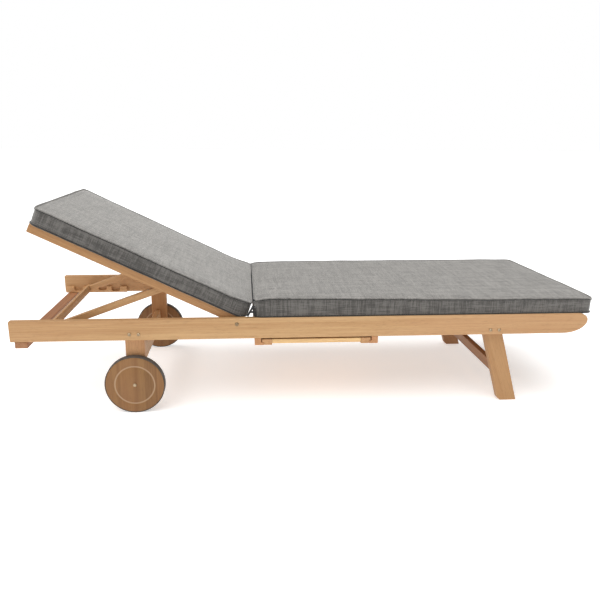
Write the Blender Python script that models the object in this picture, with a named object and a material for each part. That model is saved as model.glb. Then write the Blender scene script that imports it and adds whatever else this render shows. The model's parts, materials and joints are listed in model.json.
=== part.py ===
"""A wooden reclining sun lounger with two wheels, a notched backrest prop, a pull-out tray and a cushion in two
sections. Metres, +Z up. X runs along the lounger from the head end (-X) to the foot end (+X), Y across it, and the
origin is on the ground under the middle of the whole. 'near' is the -Y side and 'far' the +Y side. A 'depth' is
measured inward from the outer face of the side rail on either side."""

import math

import bmesh
import bpy
from mathutils import Matrix, Vector

SIDES = ("near", "far")

# ---- overall ----
OVERALL_LENGTH = 2.014
WIDTH = 0.694
HEAD = -OVERALL_LENGTH / 2
GAP = 0.0003
EDGE = 0.0015
SMALL_EDGE = 0.001
RAIL_EDGE = 0.002
RACK_EDGE = 0.0008
PLANK = 0.022

# ---- side rails: straight boards with a boat-shaped nose at the foot end ----
RAIL_LENGTH = 2.000
RAIL_TOP = 0.336
RAIL_HEIGHT = 0.072
RAIL_THICK = 0.024
RAIL_BOTTOM = RAIL_TOP - RAIL_HEIGHT
NOSE_TIP_Z = 0.312
NOSE_UPPER = 0.034
NOSE_LOWER = 0.085
INSIDE = RAIL_THICK + GAP

# ---- fasteners ----
BOLT_RADIUS = 0.004
BORE_RADIUS = 0.0044
HEAD_RADIUS = 0.0075
HEAD_HEIGHT = 0.0035
NUT_THICK = 0.0045
LEG_BOLT_SPACING = 0.031
LEG_BOLT_BITE = 0.020
HOLE_SPARE = 0.002
PIVOT_HEAD_RADIUS = HEAD_RADIUS + 0.001
OVERSHOOT = 0.010

# ---- legs ----
LEG_THICK = 0.029
LEG_INNER = INSIDE + LEG_THICK
WHEEL_LEG_X = HEAD + 0.406
WHEEL_LEG_HALF = 0.0325
WHEEL_LEG_TOP = 0.3025
WHEEL_LEG_BOLTS = Vector((HEAD + 0.409, 0.2853))
FOOT_LEG_X = HEAD + 1.7105
FOOT_LEG_SLOPE = 0.293
FOOT_LEG_WIDTH = 0.0675
FOOT_LEG_TOP = 0.295
FOOT_LEG_TOE = 0.008
FOOT_LEG_BOLTS = Vector((HEAD + 1.6628, 0.280))

# ---- cross members ----
HEAD_BAR_X = HEAD + 0.0145
HEAD_BAR_WIDE = 0.042
AXLE_BEAM_X = HEAD + 0.389
AXLE_BEAM_Z = (0.118, 0.186)
FOOT_BAR_X = HEAD + 1.905
FOOT_BAR_Z = (0.2675, 0.2955)
STRETCHER_Z = 0.101
STRETCHER_SETBACK = 0.0065
STRETCHER_TALL = 0.050
STRETCHER_THICK = 0.018
CROSSBAR_INSET = 0.002

# ---- seat ----
SEAT_START = HEAD + 0.812
SEAT_END = HEAD + 1.935
SEAT_SLATS = 8
SEAT_SLAT_WIDE = 0.095
SEAT_SLAT_THICK = 0.016
LEDGER_WIDE = 0.020
LEDGER_LEAD = 0.010
LEDGER_CLEARANCE = 0.001

# ---- wheels ----
WHEEL_X = HEAD + 0.4025
WHEEL_RADIUS = 0.103
WHEEL_WIDE = 0.025
WHEEL_DEPTH = -0.0035
TYRE_DEPTH = 0.0055
WHEEL_EDGE = 0.0015
RING_RADIUS = 0.0675
RING_WIDE = 0.004
RING_DEEP = 0.0012
AXLE_RADIUS = 0.005
AXLE_PLAY = 0.0004
AXLE_HEAD = 0.0065
AXLE_DOME = 0.004
AXLE_NUT = 0.009
AXLE_NUT_THICK = 0.006

# ---- backrest, in its own axes: x runs from the pivot towards the foot end, z up out of its face ----
PIVOT = Vector((HEAD + 0.756, 0.0, 0.316))
RECLINE = math.radians(25.9)
BACKREST_MIN = math.radians(-25.9)
BACKREST_MAX = math.radians(22.6)
BACK_LENGTH = 0.746
BACK_TAIL = 0.020
BACK_CORNER = 0.009
BACK_DEPTH = RAIL_THICK + 0.0025
BACK_THICK = 0.024
BACK_BELOW = 0.010
BACK_ABOVE = RAIL_TOP - PIVOT.z
BACK_SLATS = 6
BACK_SLAT_WIDE = 0.072
BACK_SLAT_THICK = 0.012
BACK_LAST_SLAT = -0.022

# ---- prop: two arms and a bar that rests in one of four pairs of notches ----
ARM_PIVOT = Vector((-0.273, 0.0, -0.003))
ARM_DEPTH = LEG_INNER + 0.0007
ARM_THICK = 0.021
ARM_HEIGHT = 0.023
BAR_CENTRE = Vector((HEAD + 0.110, 0.0, 0.289))
BAR_WIDE = 0.018
BAR_TALL = 0.024
PROP_SHARE = 0.61
THIRD_NOTCH = 0.54
RACK_START = HEAD + 0.008
RACK_END = HEAD + 0.268
RACK_TOP = 0.290
RACK_THICK = 0.012
RACK_CLEARANCE = 0.0012
NOTCH_HALF = 0.018
NOTCH_CORNER = 0.010

# ---- tray, which hangs between two L-shaped runners under the side rails ----
TRAY_X = HEAD + 1.0315
RUNNER_HALF_SPAN = 0.215
RUNNER_WEB = 0.0225
RUNNER_FOOT = 0.009
RUNNER_TALL = 0.0252
RUNNER_INSET = 0.0015
TRAY_SIDE = 0.0285
TRAY_TALL = 0.0205
TRAY_PLAY = 0.003
TRAY_LENGTH = 0.450
TRAY_RIM = 0.020
TRAY_RIM_Z = 0.005
TRAY_BOARD = 0.008
RUNNER_TOP = RAIL_BOTTOM - GAP
RUNNER_BOTTOM = RUNNER_TOP - RUNNER_TALL
WEB_IN = RUNNER_HALF_SPAN - RUNNER_WEB
FOOT_IN = WEB_IN - RUNNER_FOOT
SIDE_OUT = FOOT_IN - GAP
SIDE_IN = SIDE_OUT - TRAY_SIDE
TRAY_FRONT = -WIDTH / 2 + 2 * RUNNER_INSET

# ---- cushions ----
SEAT_CUSHION_WIDTH = 0.676
BACK_CUSHION_WIDTH = 0.650
CUSHION_THICK = 0.054
CUSHION_EDGE = 0.012
BACK_CUSHION_HEAD = -BACK_LENGTH + 0.001
BACK_CUSHION_LOW_END = 0.012
BACK_CUSHION_TOP_END = -0.006


# ---- materials ----
def material(name, colour, roughness, metallic=0.0):
    made = bpy.data.materials.new(name)
    made.use_nodes = True
    shader = made.node_tree.nodes["Principled BSDF"]
    shader.inputs["Base Color"].default_value = (*colour, 1.0)
    shader.inputs["Roughness"].default_value = roughness
    shader.inputs["Metallic"].default_value = metallic
    return made


# ---- shapes ----
def across(side, outer, inner):
    """The Y range between two depths on one side."""
    if side == "near":
        return -WIDTH / 2 + outer, -WIDTH / 2 + inner
    return WIDTH / 2 - inner, WIDTH / 2 - outer


def between(depth):
    """The Y range of a piece that spans the lounger, from one depth to the same depth on the other side."""
    return -WIDTH / 2 + depth, WIDTH / 2 - depth


def arc(centre, radii, start, end, steps):
    """Points on an ellipse's arc in X and Z, angles in degrees from +X towards +Z."""
    turns = (math.radians(start + (end - start) * i / steps) for i in range(steps + 1))
    return [(centre[0] + radii[0] * math.cos(t), centre[1] + radii[1] * math.sin(t)) for t in turns]


def object_from(bm, name, look, parent=None, location=(0, 0, 0)):
    bmesh.ops.recalc_face_normals(bm, faces=bm.faces)
    mesh = bpy.data.meshes.new(name)
    bm.to_mesh(mesh)
    bm.free()
    mesh.materials.append(look)
    made = bpy.data.objects.new(name, mesh)
    made.location = location
    made.parent = parent
    bpy.context.scene.collection.objects.link(made)
    return made


def pivot_empty(name, location, tilt=0.0, parent=None):
    made = bpy.data.objects.new(name, None)
    made.empty_display_size = 0.05
    made.location = location
    made.rotation_euler = (0, tilt, 0)
    made.parent = parent
    bpy.context.scene.collection.objects.link(made)
    return made


def board(name, outline, y_range, look, parent=None, edge=EDGE):
    """An outline in X and Z, sawn from a board that fills the Y range, with its edges eased."""
    bm = bmesh.new()
    face = bm.faces.new([bm.verts.new((x, y_range[0], z)) for x, z in outline])
    swept = bmesh.ops.extrude_face_region(bm, geom=[face])
    moved = [v for v in swept["geom"] if isinstance(v, bmesh.types.BMVert)]
    bmesh.ops.translate(bm, verts=moved, vec=(0, y_range[1] - y_range[0], 0))
    made = object_from(bm, name, look, parent)
    bevel = made.modifiers.new("edges", "BEVEL")
    bevel.width = edge
    bevel.segments = 1
    bevel.limit_method = "ANGLE"
    bevel.angle_limit = math.radians(40)
    return made


def block(name, x_range, y_range, z_range, look, parent=None, edge=EDGE):
    (x0, x1), (z0, z1) = x_range, z_range
    return board(name, [(x0, z0), (x1, z0), (x1, z1), (x0, z1)], y_range, look, parent, edge)


def turned(name, profile, sides, look, location, parent=None):
    """Spins (radius, y) points, listed from one end of the axis to the other, round a Y axis at location."""
    bm = bmesh.new()
    verts = [bm.verts.new((radius, y, 0)) for radius, y in profile]
    edges = [bm.edges.new(pair) for pair in zip(verts, verts[1:])]
    if profile[0][0] > 0 and profile[-1][0] > 0:
        edges.append(bm.edges.new((verts[-1], verts[0])))
    bmesh.ops.spin(
        bm,
        geom=verts + edges,
        cent=(0, 0, 0),
        axis=(0, 1, 0),
        angle=math.tau,
        steps=sides,
        use_merge=True,
    )
    bmesh.ops.remove_doubles(bm, verts=bm.verts, dist=1e-6)
    made = object_from(bm, name, look, parent, location)
    made.data.shade_smooth()
    made.data.set_sharp_from_angle(angle=math.radians(35))


def drill(target, label, point, radius, y_range, parent=None):
    """Bores a hole along Y through a piece at an (x, z) point."""
    bm = bmesh.new()
    lie_along_y = Matrix.Rotation(math.pi / 2, 4, "X")
    length = y_range[1] - y_range[0]
    bmesh.ops.create_cone(
        bm,
        cap_ends=True,
        segments=20,
        radius1=radius,
        radius2=radius,
        depth=length,
        matrix=lie_along_y,
    )
    name = f"{target.name}_{label}_bore"
    centre = (point[0], sum(y_range) / 2, point[1])
    cutter = object_from(bm, name, target.data.materials[0], parent, centre)
    cutter.hide_render = True
    cutter.display_type = "WIRE"
    hole = target.modifiers.new(name, "BOOLEAN")
    hole.operation = "DIFFERENCE"
    hole.object = cutter


def dome(radius, height, depth, steps=3):
    """A domed head's (radius, depth) profile, from its crown to the flat that it seats on at the given depth."""
    turns = [math.pi / 2 * i / steps for i in range(steps + 1)]
    return [(radius * math.sin(t), depth - height * math.cos(t)) for t in turns]


def bolt(name, side, profile, look, place, parent=None):
    """A fastener along Y, turned from (radius, depth) points that run from the crown of its head to its tip."""
    sign = -1 if side == "near" else 1
    turned(name, [(r, sign * (WIDTH / 2 - depth)) for r, depth in profile], 16, look, place, parent)


# ---- the prop linkage, seen from the side ----
def arm_pivot_at(tilt):
    """Where the prop arms' pivot is when the backrest lies at this angle above level."""
    x, z = ARM_PIVOT.x, ARM_PIVOT.z
    along, up = math.cos(tilt), math.sin(tilt)
    return PIVOT + Vector((x * along + z * up, 0, z * along - x * up))


def prop_at_rest():
    """The prop's slope and the distance from the arms' pivot to the bar's centre."""
    arm = arm_pivot_at(RECLINE) - BAR_CENTRE
    return math.atan2(arm.z, arm.x), arm.length


def notch_floors():
    """(x, z) of the middle of each notch's floor: the flat position, then the three raised ones."""
    rest_slope, length = prop_at_rest()
    floors = []
    for swing in (BACKREST_MIN, 0.0, THIRD_NOTCH * BACKREST_MAX, BACKREST_MAX):
        slope = rest_slope + PROP_SHARE * swing
        centre = arm_pivot_at(RECLINE + swing) - length * Vector((math.cos(slope), 0, math.sin(slope)))
        below_centre = BAR_TALL / 2 * math.cos(slope) + BAR_WIDE / 2 * math.sin(slope)
        floors.append((centre.x, centre.z - below_centre - GAP))
    return floors


# ---- frame ----
def leg_bolt_points(middle):
    """A leg's two bolts, as (x, z) points side by side."""
    half = Vector((LEG_BOLT_SPACING / 2, 0))
    return [middle - half, middle + half]


def drill_for_leg_bolts(target, label, middle, y_range):
    for number, point in enumerate(leg_bolt_points(middle), 1):
        drill(target, f"{label}_{number}", point, BORE_RADIUS, y_range)


def side_rail(side, wood):
    tip = HEAD + RAIL_LENGTH
    outline = [(HEAD, RAIL_TOP), (HEAD, RAIL_BOTTOM)]
    lower_curve = (NOSE_LOWER, NOSE_TIP_Z - RAIL_BOTTOM)
    upper_curve = (NOSE_UPPER, RAIL_TOP - NOSE_TIP_Z)
    outline += arc((tip - NOSE_LOWER, NOSE_TIP_Z), lower_curve, -90, 0, 16)
    outline += arc((tip - NOSE_UPPER, NOSE_TIP_Z), upper_curve, 0, 90, 9)[1:]
    made = board(f"side_rail_{side}", outline, across(side, 0, RAIL_THICK), wood, edge=RAIL_EDGE)
    through = across(side, -OVERSHOOT, RAIL_THICK + OVERSHOOT)
    drill(made, "pivot", PIVOT.xz, BORE_RADIUS, through)
    drill_for_leg_bolts(made, "wheel_leg", WHEEL_LEG_BOLTS, through)
    drill_for_leg_bolts(made, "foot_leg", FOOT_LEG_BOLTS, through)


def wheel_leg(side, wood):
    """An upright with a half-round lower end, which the wheel's axle passes through."""
    left, right = WHEEL_LEG_X - WHEEL_LEG_HALF, WHEEL_LEG_X + WHEEL_LEG_HALF
    outline = [(right, WHEEL_LEG_TOP), (left, WHEEL_LEG_TOP)]
    outline += arc((WHEEL_LEG_X, WHEEL_RADIUS), (WHEEL_LEG_HALF, WHEEL_LEG_HALF), 180, 360, 8)
    made = board(f"wheel_leg_{side}", outline, across(side, INSIDE, LEG_INNER), wood)
    blind = across(side, INSIDE - OVERSHOOT, INSIDE + LEG_BOLT_BITE + HOLE_SPARE)
    drill_for_leg_bolts(made, "leg", WHEEL_LEG_BOLTS, blind)
    through = across(side, INSIDE - OVERSHOOT, LEG_INNER + OVERSHOOT)
    drill(made, "axle", (WHEEL_X, WHEEL_RADIUS), AXLE_RADIUS + GAP, through)


def foot_leg_edge(z):
    """X of the foot leg's head-side edge at a height: the leg leans out towards the foot end."""
    return FOOT_LEG_X - FOOT_LEG_SLOPE * z


def foot_leg(side, wood):
    outline = [
        (foot_leg_edge(FOOT_LEG_TOE), FOOT_LEG_TOE),
        (FOOT_LEG_X + FOOT_LEG_TOE, 0),
        (FOOT_LEG_X + FOOT_LEG_WIDTH, 0),
        (foot_leg_edge(FOOT_LEG_TOP) + FOOT_LEG_WIDTH, FOOT_LEG_TOP),
        (foot_leg_edge(FOOT_LEG_TOP), FOOT_LEG_TOP),
    ]
    made = board(f"foot_leg_{side}", outline, across(side, INSIDE, LEG_INNER), wood)
    blind = across(side, INSIDE - OVERSHOOT, INSIDE + LEG_BOLT_BITE + HOLE_SPARE)
    drill_for_leg_bolts(made, "leg", FOOT_LEG_BOLTS, blind)


def leg_bolts(side, steel):
    tip = INSIDE + LEG_BOLT_BITE
    profile = dome(HEAD_RADIUS, HEAD_HEIGHT, -GAP)
    profile += [(BOLT_RADIUS, -GAP), (BOLT_RADIUS, tip), (0, tip)]
    for leg, middle in (("wheel", WHEEL_LEG_BOLTS), ("foot", FOOT_LEG_BOLTS)):
        for number, (x, z) in enumerate(leg_bolt_points(middle), 1):
            bolt(f"{leg}_leg_bolt_{side}_{number}", side, profile, steel, (x, 0, z))


def cross_members(wood):
    between_legs = between(LEG_INNER + GAP)
    between_rails = between(INSIDE)
    under_rails = between(CROSSBAR_INSET)
    head_bar_top = RAIL_BOTTOM - GAP
    head_bar_x = (HEAD_BAR_X, HEAD_BAR_X + HEAD_BAR_WIDE)
    block("head_crossbar", head_bar_x, under_rails, (head_bar_top - PLANK, head_bar_top), wood)
    block("axle_beam", (AXLE_BEAM_X, AXLE_BEAM_X + PLANK), between_legs, AXLE_BEAM_Z, wood)
    block("foot_crossbar", (FOOT_BAR_X, FOOT_BAR_X + PLANK), between_rails, FOOT_BAR_Z, wood)
    up_leg = Vector((-FOOT_LEG_SLOPE, 1)).normalized() * STRETCHER_TALL
    through_leg = Vector((1, FOOT_LEG_SLOPE)).normalized() * STRETCHER_THICK
    corner = Vector((foot_leg_edge(STRETCHER_Z) + STRETCHER_SETBACK, STRETCHER_Z))
    outline = [corner, corner + through_leg, corner + through_leg + up_leg, corner + up_leg]
    board("foot_stretcher", outline, between_legs, wood)


def rack(side, wood):
    """A notched batten on the inner face of a side rail: the prop bar drops into one of its four notches."""
    bottom = RAIL_BOTTOM + GAP
    inset = NOTCH_HALF - NOTCH_CORNER
    round_corner = (NOTCH_CORNER, NOTCH_CORNER)
    outline = [(RACK_END, RACK_TOP), (RACK_END, bottom), (RACK_START, bottom), (RACK_START, RACK_TOP)]
    for x, floor in notch_floors():
        outline.append((x - NOTCH_HALF, RACK_TOP))
        outline += arc((x - inset, floor + NOTCH_CORNER), round_corner, 180, 270, 4)
        outline += arc((x + inset, floor + NOTCH_CORNER), round_corner, 270, 360, 4)
        outline.append((x + NOTCH_HALF, RACK_TOP))
    board(f"prop_rack_{side}", outline, across(side, INSIDE, INSIDE + RACK_THICK), wood, edge=RACK_EDGE)


def seat(wood):
    slat_z = (RAIL_TOP - SEAT_SLAT_THICK, RAIL_TOP)
    ledger_x = (SEAT_START - LEDGER_LEAD, SEAT_END)
    ledger_z = (FOOT_LEG_TOP + LEDGER_CLEARANCE, slat_z[0] - GAP)
    for side in SIDES:
        y_range = across(side, INSIDE, INSIDE + LEDGER_WIDE)
        block(f"seat_ledger_{side}", ledger_x, y_range, ledger_z, wood)
    pitch = (SEAT_END - SEAT_SLAT_WIDE - SEAT_START) / (SEAT_SLATS - 1)
    for number in range(SEAT_SLATS):
        x = SEAT_START + number * pitch
        block(f"seat_slat_{number + 1}", (x, x + SEAT_SLAT_WIDE), between(INSIDE), slat_z, wood)


# ---- wheels ----
def wheel(side, wood, rubber, steel):
    """A wooden disc with a turned ring on its face, a rubber tyre round it and a coach bolt as its axle."""
    sign = -1 if side == "near" else 1
    out = WIDTH / 2 - WHEEL_DEPTH
    back = out - WHEEL_WIDE
    rim = WHEEL_RADIUS - TYRE_DEPTH
    disc = rim - GAP
    bore = AXLE_RADIUS + AXLE_PLAY
    centre = (WHEEL_X, 0, WHEEL_RADIUS)
    disc_profile = [
        (bore, out),
        (RING_RADIUS - RING_WIDE / 2, out),
        (RING_RADIUS, out - RING_DEEP),
        (RING_RADIUS + RING_WIDE / 2, out),
        (disc - WHEEL_EDGE, out),
        (disc, out - WHEEL_EDGE),
        (disc, back + WHEEL_EDGE),
        (disc - WHEEL_EDGE, back),
        (bore, back),
    ]
    tyre_profile = [
        (rim, out),
        (WHEEL_RADIUS - WHEEL_EDGE, out),
        (WHEEL_RADIUS, out - WHEEL_EDGE),
        (WHEEL_RADIUS, back + WHEEL_EDGE),
        (WHEEL_RADIUS - WHEEL_EDGE, back),
        (rim, back),
    ]
    turned(f"wheel_disc_{side}", [(r, sign * y) for r, y in disc_profile], 64, wood, centre)
    turned(f"wheel_tyre_{side}", [(r, sign * y) for r, y in tyre_profile], 64, rubber, centre)
    head_at = WHEEL_DEPTH - GAP
    nut_at = LEG_INNER + GAP
    tip = nut_at + AXLE_NUT_THICK
    axle = dome(AXLE_HEAD, AXLE_DOME, head_at)
    axle += [(AXLE_RADIUS, head_at), (AXLE_RADIUS, nut_at), (AXLE_NUT, nut_at), (AXLE_NUT, tip), (0, tip)]
    bolt(f"wheel_axle_{side}", side, axle, steel, centre)


# ---- backrest ----
def backrest_rail(side, wood, hinge):
    tail = BACK_TAIL - BACK_CORNER
    round_corner = (BACK_CORNER, BACK_CORNER)
    outline = [(-BACK_LENGTH, BACK_ABOVE), (-BACK_LENGTH, -BACK_BELOW)]
    outline += arc((tail, BACK_CORNER - BACK_BELOW), round_corner, -90, 0, 4)
    outline += arc((tail, BACK_ABOVE - BACK_CORNER), round_corner, 0, 90, 4)
    inner = BACK_DEPTH + BACK_THICK
    made = board(f"backrest_rail_{side}", outline, across(side, BACK_DEPTH, inner), wood, hinge)
    through = across(side, BACK_DEPTH - OVERSHOOT, inner + OVERSHOOT)
    drill(made, "pivot", (0, 0), BORE_RADIUS, through, hinge)
    blind = across(side, BACK_DEPTH + HEAD_HEIGHT, inner + OVERSHOOT)
    drill(made, "arm", ARM_PIVOT.xz, BORE_RADIUS, blind, hinge)


def backrest_pivot_bolt(side, steel):
    nut_at = BACK_DEPTH + BACK_THICK + GAP
    tip = nut_at + NUT_THICK
    profile = dome(PIVOT_HEAD_RADIUS, HEAD_HEIGHT, -GAP)
    profile += [(BOLT_RADIUS, -GAP), (BOLT_RADIUS, nut_at)]
    profile += [(HEAD_RADIUS, nut_at), (HEAD_RADIUS, tip), (0, tip)]
    bolt(f"backrest_pivot_bolt_{side}", side, profile, steel, PIVOT)


def backrest_slats(wood, hinge):
    first, last = -BACK_LENGTH, BACK_LAST_SLAT - BACK_SLAT_WIDE
    pitch = (last - first) / (BACK_SLATS - 1)
    y_range = between(BACK_DEPTH + BACK_THICK + GAP)
    z_range = (BACK_ABOVE - BACK_SLAT_THICK, BACK_ABOVE)
    for number in range(BACK_SLATS):
        x = first + number * pitch
        block(f"backrest_slat_{number + 1}", (x, x + BACK_SLAT_WIDE), y_range, z_range, wood, hinge)


# ---- prop, drawn with its arms lying along -X from their pivot at the origin ----
def prop_arm(side, wood, swing):
    _, length = prop_at_rest()
    half = ARM_HEIGHT / 2
    bar_face = -length + BAR_WIDE / 2 + GAP
    outline = [(bar_face, half), (bar_face, -half)] + arc((0, 0), (half, half), -90, 90, 8)
    inner = ARM_DEPTH + ARM_THICK
    made = board(f"prop_arm_{side}", outline, across(side, ARM_DEPTH, inner), wood, swing)
    through = across(side, ARM_DEPTH - OVERSHOOT, inner + OVERSHOOT)
    drill(made, "pivot", (0, 0), BORE_RADIUS, through, swing)


def prop_arm_bolt(side, steel, hinge):
    """Its head is on the arm's inner face and its tip in the backrest rail."""
    seat_depth = ARM_DEPTH + ARM_THICK + GAP
    tip = BACK_DEPTH + HEAD_HEIGHT + GAP
    profile = dome(HEAD_RADIUS, -HEAD_HEIGHT, seat_depth)
    profile += [(BOLT_RADIUS, seat_depth), (BOLT_RADIUS, tip), (0, tip)]
    bolt(f"prop_arm_bolt_{side}", side, profile, steel, ARM_PIVOT, hinge)


def prop_bar(wood, swing):
    _, length = prop_at_rest()
    x_range = (-length - BAR_WIDE / 2, -length + BAR_WIDE / 2)
    y_range = between(INSIDE + RACK_THICK + RACK_CLEARANCE)
    block("prop_bar", x_range, y_range, (-BAR_TALL / 2, BAR_TALL / 2), wood, swing)


# ---- tray ----
def tray_runner(end, sign, wood):
    """An L-shaped batten across both side rails, whose foot carries one side of the tray."""
    foot_top = RUNNER_BOTTOM + RUNNER_FOOT
    section = [
        (RUNNER_HALF_SPAN, RUNNER_BOTTOM),
        (RUNNER_HALF_SPAN, RUNNER_TOP),
        (WEB_IN, RUNNER_TOP),
        (WEB_IN, foot_top),
        (FOOT_IN, foot_top),
        (FOOT_IN, RUNNER_BOTTOM),
    ]
    outline = [(TRAY_X + sign * x, z) for x, z in section]
    board(f"tray_runner_{end}", outline, between(RUNNER_INSET), wood, edge=SMALL_EDGE)


def tray_side(end, sign, wood, slide):
    """A side of the tray, rebated so that its upper half rides on the runner's foot."""
    rebate = RUNNER_BOTTOM + RUNNER_FOOT + GAP
    top = RUNNER_BOTTOM + TRAY_TALL
    section = [
        (SIDE_OUT, RUNNER_BOTTOM),
        (SIDE_OUT, rebate),
        (WEB_IN - TRAY_PLAY, rebate),
        (WEB_IN - TRAY_PLAY, top),
        (SIDE_IN, top),
        (SIDE_IN, RUNNER_BOTTOM),
    ]
    outline = [(TRAY_X + sign * x, z) for x, z in section]
    y_range = (TRAY_FRONT, TRAY_FRONT + TRAY_LENGTH)
    board(f"tray_side_{end}", outline, y_range, wood, slide, SMALL_EDGE)


def tray_inside(wood, slide):
    """The tray's front and back rims and the board between them."""
    x_range = (TRAY_X - SIDE_IN + GAP, TRAY_X + SIDE_IN - GAP)
    low = RUNNER_BOTTOM + TRAY_RIM_Z
    rim_z = (low, RUNNER_BOTTOM + TRAY_TALL - GAP)
    back = TRAY_FRONT + TRAY_LENGTH
    block("tray_front", x_range, (TRAY_FRONT, TRAY_FRONT + TRAY_RIM), rim_z, wood, slide, SMALL_EDGE)
    block("tray_back", x_range, (back - TRAY_RIM, back), rim_z, wood, slide, SMALL_EDGE)
    inner = (TRAY_FRONT + TRAY_RIM + GAP, back - TRAY_RIM - GAP)
    block("tray_board", x_range, inner, (low, low + TRAY_BOARD), wood, slide, SMALL_EDGE)


# ---- cushions ----
def seat_cushion(fabric):
    half = SEAT_CUSHION_WIDTH / 2
    z_range = (RAIL_TOP + GAP, RAIL_TOP + CUSHION_THICK)
    block("seat_cushion", (SEAT_START, -HEAD), (-half, half), z_range, fabric, edge=CUSHION_EDGE)


def back_cushion(fabric, hinge):
    """Its end at the fold is slanted, so that it clears the seat cushion when the backrest is at its steepest."""
    half = BACK_CUSHION_WIDTH / 2
    low, high = BACK_ABOVE + GAP, BACK_ABOVE + CUSHION_THICK
    outline = [
        (BACK_CUSHION_HEAD, low),
        (BACK_CUSHION_LOW_END, low),
        (BACK_CUSHION_TOP_END, high),
        (BACK_CUSHION_HEAD, high),
    ]
    board("back_cushion", outline, (-half, half), fabric, hinge, CUSHION_EDGE)


def main():
    for old in list(bpy.data.objects):
        bpy.data.objects.remove(old, do_unlink=True)
    wood = material("oiled_hardwood", (0.56, 0.35, 0.18), 0.5)
    wheel_wood = material("wheel_hardwood", (0.36, 0.19, 0.08), 0.5)
    rubber = material("tyre_rubber", (0.06, 0.055, 0.05), 0.85)
    steel = material("bolt_steel", (0.62, 0.60, 0.57), 0.35, 1.0)
    fabric = material("cushion_fabric", (0.22, 0.215, 0.21), 0.95)

    rest_slope, _ = prop_at_rest()
    hinge = pivot_empty("backrest_hinge", PIVOT, RECLINE)
    swing = pivot_empty("prop_hinge", ARM_PIVOT, -rest_slope - RECLINE, hinge)
    slide = pivot_empty("tray_slide", (0, 0, 0))

    for side in SIDES:
        side_rail(side, wood)
        wheel_leg(side, wood)
        foot_leg(side, wood)
        leg_bolts(side, steel)
        rack(side, wood)
        wheel(side, wheel_wood, rubber, steel)
        backrest_rail(side, wood, hinge)
        backrest_pivot_bolt(side, steel)
        prop_arm(side, wood, swing)
        prop_arm_bolt(side, steel, hinge)
    cross_members(wood)
    seat(wood)
    backrest_slats(wood, hinge)
    prop_bar(wood, swing)
    for end, sign in (("head", -1), ("foot", 1)):
        tray_runner(end, sign, wood)
        tray_side(end, sign, wood, slide)
    tray_inside(wood, slide)
    seat_cushion(fabric)
    back_cushion(fabric, hinge)


main()
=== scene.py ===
"""The finished look of the reclining sun lounger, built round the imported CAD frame.

Oiled hardwood boards, turned wheels, metal bolts and a padded cushion in two sections.
Metres, +Z up. 'near' is the -Y side and 'far' the +Y side."""

import json
import math

import bmesh
import bpy
import numpy as np
from mathutils import Matrix, Vector, noise


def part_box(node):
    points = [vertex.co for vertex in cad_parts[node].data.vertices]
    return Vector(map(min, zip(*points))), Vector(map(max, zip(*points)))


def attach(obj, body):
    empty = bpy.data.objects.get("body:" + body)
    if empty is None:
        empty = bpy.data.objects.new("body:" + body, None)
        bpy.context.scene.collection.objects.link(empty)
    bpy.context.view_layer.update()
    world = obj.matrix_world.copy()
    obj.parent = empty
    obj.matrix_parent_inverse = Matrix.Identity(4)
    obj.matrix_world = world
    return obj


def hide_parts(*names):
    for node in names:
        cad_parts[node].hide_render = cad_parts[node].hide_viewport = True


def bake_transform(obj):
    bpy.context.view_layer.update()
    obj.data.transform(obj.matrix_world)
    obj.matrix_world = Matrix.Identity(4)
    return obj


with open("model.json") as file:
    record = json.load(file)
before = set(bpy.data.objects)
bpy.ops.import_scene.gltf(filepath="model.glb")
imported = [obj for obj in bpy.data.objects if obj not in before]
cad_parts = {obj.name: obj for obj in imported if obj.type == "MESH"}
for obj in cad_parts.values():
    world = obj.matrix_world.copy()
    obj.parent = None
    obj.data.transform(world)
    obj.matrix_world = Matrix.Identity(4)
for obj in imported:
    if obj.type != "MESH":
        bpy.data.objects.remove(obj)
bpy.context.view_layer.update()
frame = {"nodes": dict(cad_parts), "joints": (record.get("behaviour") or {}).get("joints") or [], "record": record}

SIGN = {"near": -1, "far": 1}
JOINTS = {joint["name"]: joint for joint in frame["joints"]}
TILT = JOINTS["backrest_tilt"]
PIVOT = Vector(TILT["pos_m"])
RECLINE = math.radians(-TILT["range_deg"][0])
BACK = Matrix.Translation(PIVOT) @ Matrix.Rotation(RECLINE, 4, "Y")
RAIL_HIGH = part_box("side_rail_near")[1]
RAIL_TOP = RAIL_HIGH.z
RAIL_INSIDE = -RAIL_HIGH.y


def middle(node):
    low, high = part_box(node)
    return (low + high) / 2


# ---- building materials ----
def node(tree, kind, settings=None, **inputs):
    """Adds a shader node. An input is a value or the output socket that it is linked to."""
    made = tree.nodes.new("ShaderNode" + kind)
    for name, value in (settings or {}).items():
        setattr(made, name, value)
    for name, value in inputs.items():
        socket = made.inputs[name.replace("_", " ")]
        if isinstance(value, bpy.types.NodeSocket):
            tree.links.new(value, socket)
        else:
            socket.default_value = value
    return made


def calculate(tree, operation, *values):
    made = tree.nodes.new("ShaderNodeMath")
    made.operation = operation
    for socket, value in zip(made.inputs, values):
        if isinstance(value, bpy.types.NodeSocket):
            tree.links.new(value, socket)
        else:
            socket.default_value = value
    return made.outputs[0]


def mix(tree, factor, first, second, blend_type="MIX"):
    made = tree.nodes.new("ShaderNodeMix")
    made.data_type = "RGBA"
    made.blend_type = blend_type
    sockets = (made.inputs[0], made.inputs[6], made.inputs[7])
    for socket, value in zip(sockets, (factor, first, second)):
        if isinstance(value, bpy.types.NodeSocket):
            tree.links.new(value, socket)
        else:
            socket.default_value = (*value, 1) if isinstance(value, tuple) else value
    return made.outputs[2]


def ramp(tree, factor, low, high):
    """0 below low, 1 above high and a smooth step between."""
    settings = {"interpolation_type": "SMOOTHSTEP"}
    made = node(tree, "MapRange", settings, Value=factor, From_Min=low, From_Max=high)
    return made.outputs["Result"]


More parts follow.
